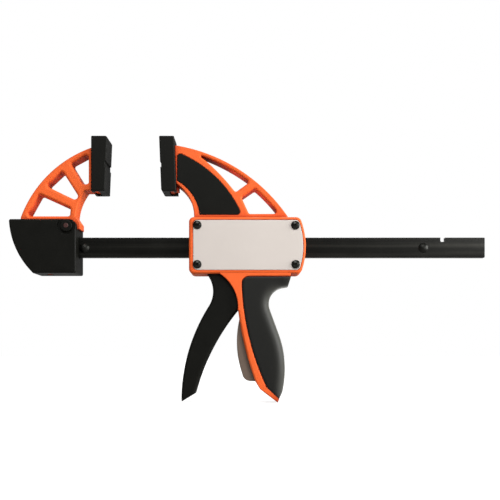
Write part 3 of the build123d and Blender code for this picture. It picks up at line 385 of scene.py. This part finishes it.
maroon = blank("nylon_dark_red_moulded")
place = put(maroon, "ShaderNodeTexCoord", {})
grain = put(
    maroon,
    "ShaderNodeTexNoise",
    {"Vector": (place, "Object"), "Scale": 1000 / spark_mm, "Detail": 3.0},
)
tint = put(
    maroon,
    "ShaderNodeMix",
    {"Factor": (grain, 0), 6: swatch("#32110C"), 7: swatch("#451A13")},
    data_type="RGBA",
)
edge = put(maroon, "ShaderNodeBevel", {"Radius": small_edge}, samples=4)
relief = put(
    maroon,
    "ShaderNodeBump",
    {"Height": (grain, 0), "Strength": 0.12, "Distance": small_depth, "Normal": (edge, 0)},
)
nylon = put(
    maroon,
    "ShaderNodeBsdfPrincipled",
    {"Base Color": (tint, 2), "Roughness": 0.5, "IOR": nylon_ior, "Normal": (relief, 0)},
)
finish_with(maroon, nylon)
dress(maroon, "jaw_lock_plunger")

# hardened and ground steel: cool grey, fine upright grinding lines, oily gleam; the real
# lines are about 0.05 mm apart and are drawn at 0.35 mm so that they show
grinding_mm = 0.35
grinding_depth = 0.00003

ground = blank("steel_hardened_ground")
place = put(ground, "ShaderNodeTexCoord", {})
along = put(ground, "ShaderNodeMapping", {"Vector": (place, "Object"), "Scale": (1.0, 1.0, 0.03)})
scratches = put(
    ground,
    "ShaderNodeTexNoise",
    {"Vector": (along, 0), "Scale": 1000 / grinding_mm, "Detail": 3.0},
)
tint = put(
    ground,
    "ShaderNodeMix",
    {"Factor": (scratches, 0), 6: swatch("#8A8A8C"), 7: swatch("#A9A9AB")},
    data_type="RGBA",
)
relief = put(
    ground,
    "ShaderNodeBump",
    {"Height": (scratches, 0), "Strength": 0.2, "Distance": grinding_depth},
)
steel = put(
    ground,
    "ShaderNodeBsdfPrincipled",
    {"Base Color": (tint, 2), "Roughness": 0.32, "Metallic": 1.0, "Normal": (relief, 0)},
)
finish_with(ground, steel)
dress(ground, "jaw_lock_plate")

# drawn spring wire: brighter than the ground plates, with a faint straw tint from tempering
temper_mm = 6.0

wire = blank("steel_spring_wire_tempered")
place = put(wire, "ShaderNodeTexCoord", {})
heat = put(
    wire,
    "ShaderNodeTexNoise",
    {"Vector": (place, "Object"), "Scale": 1000 / temper_mm, "Detail": 2.0},
)
tint = put(
    wire,
    "ShaderNodeMix",
    {"Factor": (heat, 0), 6: swatch("#B4B2AC"), 7: swatch("#C2B89C")},
    data_type="RGBA",
)
steel = put(
    wire,
    "ShaderNodeBsdfPrincipled",
    {"Base Color": (tint, 2), "Roughness": 0.24, "Metallic": 1.0},
)
finish_with(wire, steel)

# corners of a piece's loose triangles that lie closer together than this are one
same_point = 0.000001


def closing_coils(node, body):
    """A spring's own coils: a welded copy of the part in spring wire, carried by the body in its
    place.
    """
    bpy.ops.object.select_all(action="DESELECT")
    coils = bpy.data.objects.new(node + "_coils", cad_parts[node].data.copy())
    bpy.context.collection.objects.link(coils)
    coils.select_set(True)
    bpy.context.view_layer.objects.active = coils
    bpy.ops.object.mode_set(mode="EDIT")
    bpy.ops.mesh.select_all(action="SELECT")
    bpy.ops.mesh.remove_doubles(threshold=same_point)
    bpy.ops.object.mode_set(mode="OBJECT")
    for place in coils.material_slots:
        place.material = wire
    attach(coils, body)
    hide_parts(node)
    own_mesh(coils)


# the lock spring rides with the button; the real one shortens by its travel against the right
# cover
closing_coils(
    "jaw_lock_spring", "jaw_lock"
)

# ------------------------------------------------------------------ cover screws
# Two thread-forming screws hold the covers on the base from the right. They are zinc plated
# and blackened, with a hexagon socket, and their heads lie below the surface.

# blackened zinc: smooth and fairly glossy, with a thin cloudy bloom
bloom_mm = 1.5
bloom_depth = 0.00003
head_edge = 0.0002

plated = blank("steel_screw_zinc_black")
place = put(plated, "ShaderNodeTexCoord", {})
bloom = put(
    plated,
    "ShaderNodeTexNoise",
    {"Vector": (place, "Object"), "Scale": 1000 / bloom_mm, "Detail": 4.0},
)
tint = put(
    plated,
    "ShaderNodeMix",
    {"Factor": (bloom, 0), 6: swatch("#141412"), 7: swatch("#26261F")},
    data_type="RGBA",
)
edge = put(plated, "ShaderNodeBevel", {"Radius": head_edge}, samples=4)
relief = put(
    plated,
    "ShaderNodeBump",
    {"Height": (bloom, 0), "Strength": 0.1, "Distance": bloom_depth, "Normal": (edge, 0)},
)
steel = put(
    plated,
    "ShaderNodeBsdfPrincipled",
    {"Base Color": (tint, 2), "Roughness": 0.3, "Metallic": 0.6, "Normal": (relief, 0)},
)
finish_with(plated, steel)
dress(plated, "fixed_jaw_screws")

# ------------------------------------------------------------------ pads
# The pads are moulded from tough black polyurethane and pushed on the jaws' feet from above.
# Each has a V-groove for round work and a fine matt skin that doesn't mark the work.

# moulded polyurethane: near-black and matt, a little shinier where work has rubbed it; the
# real grain is about 0.1 mm and is drawn at 0.7 mm so that it shows
skin_mm = 0.7
skin_depth = 0.00008
scuff_mm = 7.0
pad_edge = 0.0007
elastomer_ior = 1.5

skin = blank("polyurethane_pad_black")
place = put(skin, "ShaderNodeTexCoord", {})
grain = put(
    skin,
    "ShaderNodeTexNoise",
    {"Vector": (place, "Object"), "Scale": 1000 / skin_mm, "Detail": 2.0},
)
scuff = put(
    skin,
    "ShaderNodeTexNoise",
    {"Vector": (place, "Object"), "Scale": 1000 / scuff_mm, "Detail": 6.0, "Roughness": 0.65},
)
tint = put(
    skin,
    "ShaderNodeMix",
    {"Factor": (scuff, 0), 6: swatch("#0B0B08"), 7: swatch("#12120E")},
    data_type="RGBA",
)
gloss = put(
    skin,
    "ShaderNodeMapRange",
    {"Value": (scuff, 0), "From Min": 0.3, "From Max": 0.7, "To Min": 0.48, "To Max": 0.62},
)
edge = put(skin, "ShaderNodeBevel", {"Radius": pad_edge}, samples=4)
relief = put(
    skin,
    "ShaderNodeBump",
    {"Height": (grain, 0), "Strength": 0.18, "Distance": skin_depth, "Normal": (edge, 0)},
)
plastic = put(
    skin,
    "ShaderNodeBsdfPrincipled",
    {
        "Base Color": (tint, 2),
        "Roughness": (gloss, 0),
        "IOR": elastomer_ior,
        "Specular IOR Level": 0.12,
        "Normal": (relief, 0),
    },
)
finish_with(skin, plastic)
dress(skin, "fixed_pad", "moving_pad")

# ------------------------------------------------------------------ sliding jaw and housing
# Jaw, housing and handle frame are one orange moulding, open at both sides of the housing
# for the mechanism and at the front of the handle for the release lever.
dress(orange, "body_frame")

# ------------------------------------------------------------------ inserts of the jaw
# A black nylon panel is clipped into each side of the sliding jaw, 0.3 mm proud of it.
dress(black, "jaw_insert_left", "jaw_insert_right")

# ------------------------------------------------------------------ drive and brake
# Two hardened plates grip the bar and push the jaw along it, one tilted plate holds it, and
# two pins carry the trigger and the release lever. The springs stand round the bar.
dress(ground, "drive_plate_front", "drive_plate_rear", "brake_plate")
dress(ground, "trigger_pivot_pin", "release_pivot_pin")
dress(wire, "brake_spring")

# the drive spring rides with the sliding jaw; in the real clamp the trigger drives the plates back
# against it, and it ends on the housing's rib and shortens by a hair more than the 8.55 mm that
# they move
closing_coils(
    "drive_spring", "sliding_jaw"
)

# ------------------------------------------------------------------ side plates
# Each side of the housing is closed by a 1.5 mm steel plate, blanked, bead-blasted and left
# bare. Its rim lies just inside the orange edge of the housing.

# bead-blasted steel: pale warm grey, matt, with a fine pebbled skin and soft cloudy tone;
# the real pebbles are about 0.1 mm and are drawn at 0.6 mm so that they show
pebble_mm = 0.6
pebble_depth = 0.00005
cloud_mm = 22.0
blanked_edge = 0.0003

blasted = blank("steel_bead_blasted")
place = put(blasted, "ShaderNodeTexCoord", {})
pebble = put(
    blasted,
    "ShaderNodeTexNoise",
    {"Vector": (place, "Object"), "Scale": 1000 / pebble_mm, "Detail": 2.0},
)
cloud = put(
    blasted,
    "ShaderNodeTexNoise",
    {"Vector": (place, "Object"), "Scale": 1000 / cloud_mm, "Detail": 3.0, "Roughness": 0.5},
)
tint = put(
    blasted,
    "ShaderNodeMix",
    {"Factor": (cloud, 0), 6: swatch("#D2C9C2"), 7: swatch("#D8CFC8")},
    data_type="RGBA",
)
edge = put(blasted, "ShaderNodeBevel", {"Radius": blanked_edge}, samples=4)
relief = put(
    blasted,
    "ShaderNodeBump",
    {"Height": (pebble, 0), "Strength": 0.3, "Distance": pebble_depth, "Normal": (edge, 0)},
)
steel = put(
    blasted,
    "ShaderNodeBsdfPrincipled",
    {"Base Color": (tint, 2), "Roughness": 0.55, "Metallic": 0.35, "Normal": (relief, 0)},
)
finish_with(blasted, steel)
dress(blasted, "side_plate_left", "side_plate_right")

# ------------------------------------------------------------------ plate screws
# Four button-head screws from the left run into sleeve nuts from the right and clamp both
# plates on the housing.
dress(plated, "plate_screws", "plate_sleeve_nuts")

# ------------------------------------------------------------------ soft grip
# The back of the handle is overmoulded with soft black thermoplastic rubber. It is matt, and
# its rounded back carries a painted grey sheen and also catches a grazing light.

# soft-touch rubber: charcoal, with a fine pebbled skin, dust in patches and a weak bloom; the
# real pebbles are about 0.3 mm and are drawn at 1.1 mm so that they show
stipple_mm = 1.1
stipple_depth = 0.0001
dust_mm = 10.0
painted_sheen_reach = 0.011
lip_edge = 0.003

soft = blank("rubber_thermoplastic_soft_touch")
place = put(soft, "ShaderNodeTexCoord", {})
stipple = put(
    soft,
    "ShaderNodeTexVoronoi",
    {"Vector": (place, "Object"), "Scale": 1000 / stipple_mm},
    feature="SMOOTH_F1",
)
dust = put(
    soft,
    "ShaderNodeTexNoise",
    {"Vector": (place, "Object"), "Scale": 1000 / dust_mm, "Detail": 6.0, "Roughness": 0.65},
)
tint = put(
    soft,
    "ShaderNodeMix",
    {"Factor": (dust, 0), 6: swatch("#0F0F0D"), 7: swatch("#161613")},
    data_type="RGBA",
)
# painted sheen: where the bevelled normal turns towards the back (+X), the side the right-hand
# lamp grazes, the rubber is painted grey
painted_sheen_bevel = put(soft, "ShaderNodeBevel", {"Radius": painted_sheen_reach}, samples=16)
facing_back = put(
    soft, "ShaderNodeVectorMath", {0: (painted_sheen_bevel, 0), 1: (1.0, 0.0, 0.0)}, operation="DOT_PRODUCT"
)
painted_sheen_share = put(
    soft,
    "ShaderNodeMapRange",
    {
        "Value": (facing_back, "Value"),
        "From Min": 0.0,
        "From Max": 0.7,
        "To Min": 0.0,
        "To Max": 1.0,
    },
)
# the grey #3A3A35 is the painted sheen, not a colour of the rubber
painted_sheen_tint = put(
    soft,
    "ShaderNodeMix",
    {"Factor": (painted_sheen_share, 0), 6: (tint, 2), 7: swatch("#3A3A35")},
    data_type="RGBA",
)
edge = put(soft, "ShaderNodeBevel", {"Radius": lip_edge}, samples=8)
relief = put(
    soft,
    "ShaderNodeBump",
    {"Height": (stipple, 0), "Strength": 0.18, "Distance": stipple_depth, "Normal": (edge, 0)},
)
rubber = put(
    soft,
    "ShaderNodeBsdfPrincipled",
    {
        "Base Color": (painted_sheen_tint, 2),
        "Roughness": 0.52,
        "IOR": elastomer_ior,
        "Specular IOR Level": 0.22,
        "Sheen Weight": 0.8,
        "Sheen Roughness": 0.4,
        "Sheen Tint": swatch("#C9C9C4"),
        "Normal": (relief, 0),
    },
)
finish_with(soft, rubber)
dress(soft, "handle_grip")

# ------------------------------------------------------------------ trigger
# The trigger is a black nylon channel with a rounded front for the fingers. It is moulded
# with the same spark-eroded grain as the covers.
dress(black, "trigger")

# ------------------------------------------------------------------ release lever
# The release lever between trigger and handle is moulded from warm grey nylon, so that it
# stands out from the black trigger.

# moulded grey nylon: warm, satin, and a little cloudy where the glass fibre lies closer
lever_depth = 0.00007
lever_edge = 0.0004

grey = blank("nylon_warm_grey_moulded")
place = put(grey, "ShaderNodeTexCoord", {})
grain = put(
    grey,
    "ShaderNodeTexNoise",
    {"Vector": (place, "Object"), "Scale": 1000 / spark_mm, "Detail": 2.0},
)
mottle = put(
    grey,
    "ShaderNodeTexNoise",
    {"Vector": (place, "Object"), "Scale": 1000 / mottle_mm, "Detail": 5.0},
)
tint = put(
    grey,
    "ShaderNodeMix",
    {"Factor": (mottle, 0), 6: swatch("#776558"), 7: swatch("#816F62")},
    data_type="RGBA",
)
edge = put(grey, "ShaderNodeBevel", {"Radius": lever_edge}, samples=4)
relief = put(
    grey,
    "ShaderNodeBump",
    {"Height": (grain, 0), "Strength": 0.16, "Distance": lever_depth, "Normal": (edge, 0)},
)
nylon = put(
    grey,
    "ShaderNodeBsdfPrincipled",
    {"Base Color": (tint, 2), "Roughness": 0.45, "IOR": nylon_ior, "Normal": (relief, 0)},
)
finish_with(grey, nylon)
dress(grey, "release_lever")

# ------------------------------------------------------------------ floor
# A plain pale studio floor under the lowest point of the handle. It looks nearly white to the
# camera and is dimmed in reflections, keeps a soft shadow, and throws little light back up.
floor_size = 6.0
floor_gap = 0.0005
mirrored_share = 0.2
fade_start = 0.3
fade_end = 1.2

bpy.ops.object.select_all(action="DESELECT")
bpy.ops.mesh.primitive_plane_add(size=floor_size, location=(0, 0, 0))
floor = bpy.context.object
floor.name = "studio_floor"
for corner in floor.data.vertices:
    corner.co.z = cad_box[0][2] - floor_gap
paper = blank("paper_studio_pale")
rays = put(paper, "ShaderNodeLightPath", {})
clear = put(
    paper,
    "ShaderNodeMath",
    {0: (rays, "Is Camera Ray"), 1: (rays, "Is Transmission Ray")},
    operation="MAXIMUM",
)
mirrored = put(
    paper, "ShaderNodeMath", {0: (rays, "Is Glossy Ray"), 1: mirrored_share}, operation="MULTIPLY"
)
seen = put(paper, "ShaderNodeMath", {0: (clear, 0), 1: (mirrored, 0)}, operation="MAXIMUM")
lit = put(paper, "ShaderNodeBsdfDiffuse", {"Color": swatch("#9A9A98")})
spot = put(paper, "ShaderNodeTexCoord", {})
away = put(paper, "ShaderNodeVectorMath", {0: (spot, "Object")}, operation="LENGTH")
fade = put(
    paper,
    "ShaderNodeMapRange",
    {
        "Value": (away, "Value"),
        "From Min": fade_start,
        "From Max": fade_end,
        "To Min": 0.85,
        "To Max": 1.0,
    },
)
glow = put(paper, "ShaderNodeEmission", {"Color": (1.0, 1.0, 1.0, 1.0), "Strength": (fade, 0)})
soft_white = put(paper, "ShaderNodeAddShader", {0: (lit, 0), 1: (glow, 0)})
dim = put(paper, "ShaderNodeBsdfDiffuse", {"Color": swatch("#8E8E8C")})
both = put(paper, "ShaderNodeMixShader", {0: (seen, 0), 1: (dim, 0), 2: (soft_white, 0)})
finish_with(paper, both)
floor.data.materials.append(paper)

# ------------------------------------------------------------------ studio light
# A white surround for the camera. Gloss shows it dimmed, brighter behind the clamp than in
# front, and a weak even light fills the shadows. Four soft boxes light the clamp itself.
even_light = 0.14

world = bpy.data.worlds.new("studio")
bpy.context.scene.world = world
world.use_nodes = True
world.node_tree.nodes.clear()
rays = put(world, "ShaderNodeLightPath", {})
clear = put(
    world,
    "ShaderNodeMath",
    {0: (rays, "Is Camera Ray"), 1: (rays, "Is Transmission Ray")},
    operation="MAXIMUM",
)
room = put(world, "ShaderNodeTexCoord", {})
side = put(world, "ShaderNodeSeparateXYZ", {"Vector": (room, "Generated")})
backdrop = put(
    world,
    "ShaderNodeMapRange",
    {"Value": (side, "Y"), "From Min": -0.3, "From Max": 0.8, "To Min": 0.07, "To Max": 0.32},
)
room_level = put(
    world,
    "ShaderNodeMix",
    {0: (rays, "Is Glossy Ray"), 2: even_light, 3: (backdrop, 0)},
    data_type="FLOAT",
)
level = put(
    world, "ShaderNodeMix", {0: (clear, 0), 2: (room_level, 0), 3: 1.0}, data_type="FLOAT"
)
surround = put(
    world, "ShaderNodeBackground", {"Color": (1.0, 1.0, 1.0, 1.0), "Strength": (level, 0)}
)
put(world, "ShaderNodeOutputWorld", {"Surface": (surround, 0)})

clamp_middle = (0.133, 0.0, -0.02)
soft_boxes = (
    # name, place, size, power
    ("key_above_front", (0.05, -1.45, 1.50), 1.1, 28.0),
    ("gleam_right", (1.15, -1.80, 0.46), 0.3, 7.0),
    ("side_right", (2.00, -0.50, 0.45), 1.0, 56.0),
    ("rim_above_behind", (0.10, 1.25, 1.65), 1.1, 30.0),
)
for name, spot, width, power in soft_boxes:
    lamp = bpy.data.lights.new(name, "AREA")
    lamp.shape = "SQUARE"
    lamp.size = width
    lamp.energy = power
    box = bpy.data.objects.new(name, lamp)
    bpy.context.collection.objects.link(box)
    run = [clamp_middle[i] - spot[i] for i in range(3)]
    level_run = math.hypot(run[0], run[1])
    box.location = spot
    tilt = math.atan2(level_run, -run[2])
    turn = math.atan2(run[1], run[0]) - math.pi / 2
    box.rotation_euler = (tilt, 0.0, turn)

# ------------------------------------------------------------------ camera
# Straight in front of the clamp, low, with a 50 mm lens and a rise so that verticals stay
# upright.
lens = bpy.data.cameras.new("camera")
lens.lens = 50.0
lens.sensor_width = 36.0
lens.shift_x = 0.004
lens.shift_y = 0.194
camera = bpy.data.objects.new("camera", lens)
bpy.context.collection.objects.link(camera)
camera.location = (0.132, -0.660, -0.0941)
camera.rotation_euler = (math.pi / 2, 0.0, 0.0)
bpy.context.scene.camera = camera

bpy.context.scene.view_settings.view_transform = "Standard"
